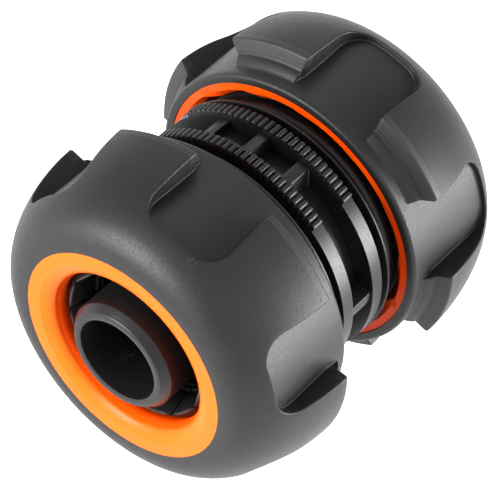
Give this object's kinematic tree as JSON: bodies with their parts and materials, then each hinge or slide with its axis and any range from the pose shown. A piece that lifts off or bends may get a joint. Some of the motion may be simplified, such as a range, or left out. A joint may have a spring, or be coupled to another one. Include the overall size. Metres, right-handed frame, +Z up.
{
  "type": "hose mender",
  "caption": "Straight hose mender: a black ribbed body with a spigot at each end and soft-grip screw nuts with orange mouths that clamp the two hose ends.",
  "frame": {"origin": "on the hose axis, at the middle of the body between its two flanges", "axes": "+X along the hose axis towards the far end, +Z up with the mender lying on the lobes of its two nuts"},
  "size_m": [0.0654, 0.059, 0.0574],
  "materials": {
    "black_plastic": "moulded black polypropylene, satin, with light handling scratches",
    "orange_plastic": "moulded bright orange plastic, satin, slightly translucent at thin edges",
    "soft_grip": "matte charcoal soft-touch elastomer with a fine grain"
  },
  "bodies": {
    "body": {"body": "black_plastic"},
    "near_collet": {"near_collet": "black_plastic"},
    "near_nut": {"near_nut_insert": "orange_plastic", "near_grip_shell": "soft_grip"},
    "far_collet": {"far_collet": "black_plastic"},
    "far_nut": {"far_nut_insert": "orange_plastic", "far_grip_shell": "soft_grip"}
  },
  "joints": [
    {"name": "near_collet_slide", "type": "slide", "parent": "body", "child": "near_collet", "axis": [-1, 0, 0], "range_m": [-0.00181, 0.00551]},
    {"name": "near_nut_turn", "type": "hinge", "parent": "near_collet", "child": "near_nut", "pos_m": [0, 0, 0], "axis": [-1, 0, 0], "range_deg": [-18, 55]},
    {"name": "far_collet_slide", "type": "slide", "parent": "body", "child": "far_collet", "axis": [1, 0, 0], "range_m": [-0.00181, 0.00551]},
    {"name": "far_nut_turn", "type": "hinge", "parent": "far_collet", "child": "far_nut", "pos_m": [0, 0, 0], "axis": [1, 0, 0], "range_deg": [-18, 55]}
  ],
  "couplings": [
    {"joint": "near_collet_slide", "follows": "near_nut_turn", "m_per_rad": 0.0057296},
    {"joint": "far_collet_slide", "follows": "far_nut_turn", "m_per_rad": 0.0057296}
  ]
}
